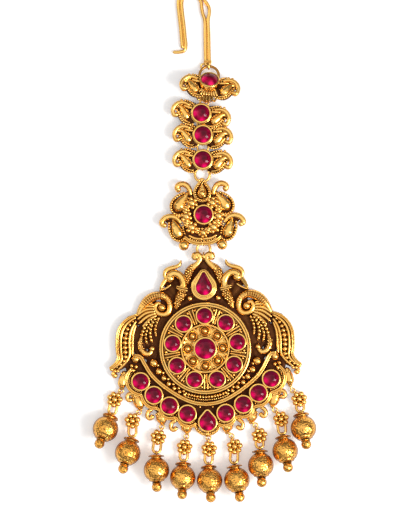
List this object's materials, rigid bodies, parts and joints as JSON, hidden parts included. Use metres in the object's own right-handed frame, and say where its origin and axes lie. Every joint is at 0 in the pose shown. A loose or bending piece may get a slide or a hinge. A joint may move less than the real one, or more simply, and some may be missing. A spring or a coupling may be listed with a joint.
{
  "type": "maang tikka",
  "caption": "Gold-tone maang tikka: hair hook, winged ruby-red links, rosette link and a peacock crescent pendant fringed with gold balls.",
  "frame": {"origin": "centre of the medallion on the pendant's back, in the plane that the piece lies on", "axes": "+X to the wearer's left as the piece lies face up with its hook away, +Y from the drops towards the hair hook, +Z out of the decorated face"},
  "size_m": [0.0489, 0.1128, 0.0059],
  "materials": {
    "gold": "antique gold plate, dark in the recesses",
    "ruby": "polished foil-backed cabochons"
  },
  "bodies": {
    "root": {"hair_hook": "gold", "hook_ring": "gold", "link_1": "gold", "link_2": "gold", "link_3": "gold", "link_4": "gold", "link_ring_1": "gold", "link_ring_2": "gold", "link_ring_3": "gold", "rosette_ring": "gold", "rosette_link": "gold", "pendant_ring": "gold", "pendant": "gold", "drop_flower_1": "gold", "drop_ball_1": "gold", "drop_flower_2": "gold", "drop_ball_2": "gold", "drop_flower_3": "gold", "drop_ball_3": "gold", "drop_flower_4": "gold", "drop_ball_4": "gold", "drop_flower_5": "gold", "drop_ball_5": "gold", "drop_flower_6": "gold", "drop_ball_6": "gold", "drop_flower_7": "gold", "drop_ball_7": "gold", "drop_flower_8": "gold", "drop_ball_8": "gold", "drop_flower_9": "gold", "drop_ball_9": "gold", "ruby_link_1": "ruby", "ruby_link_2": "ruby", "ruby_link_3": "ruby", "ruby_link_4": "ruby", "ruby_rosette_link": "ruby", "ruby_ring_1": "ruby", "ruby_ring_2": "ruby", "ruby_ring_3": "ruby", "ruby_ring_4": "ruby", "ruby_ring_5": "ruby", "ruby_ring_6": "ruby", "ruby_ring_7": "ruby", "ruby_ring_8": "ruby", "ruby_ring_9": "ruby", "ruby_centre": "ruby", "ruby_top_pear": "ruby", "ruby_low_pear": "ruby", "ruby_crescent_1": "ruby", "ruby_crescent_2": "ruby", "ruby_crescent_3": "ruby", "ruby_crescent_4": "ruby", "ruby_crescent_5": "ruby", "ruby_crescent_6": "ruby", "ruby_crescent_7": "ruby", "ruby_crescent_8": "ruby"}
  },
  "joints": []
}
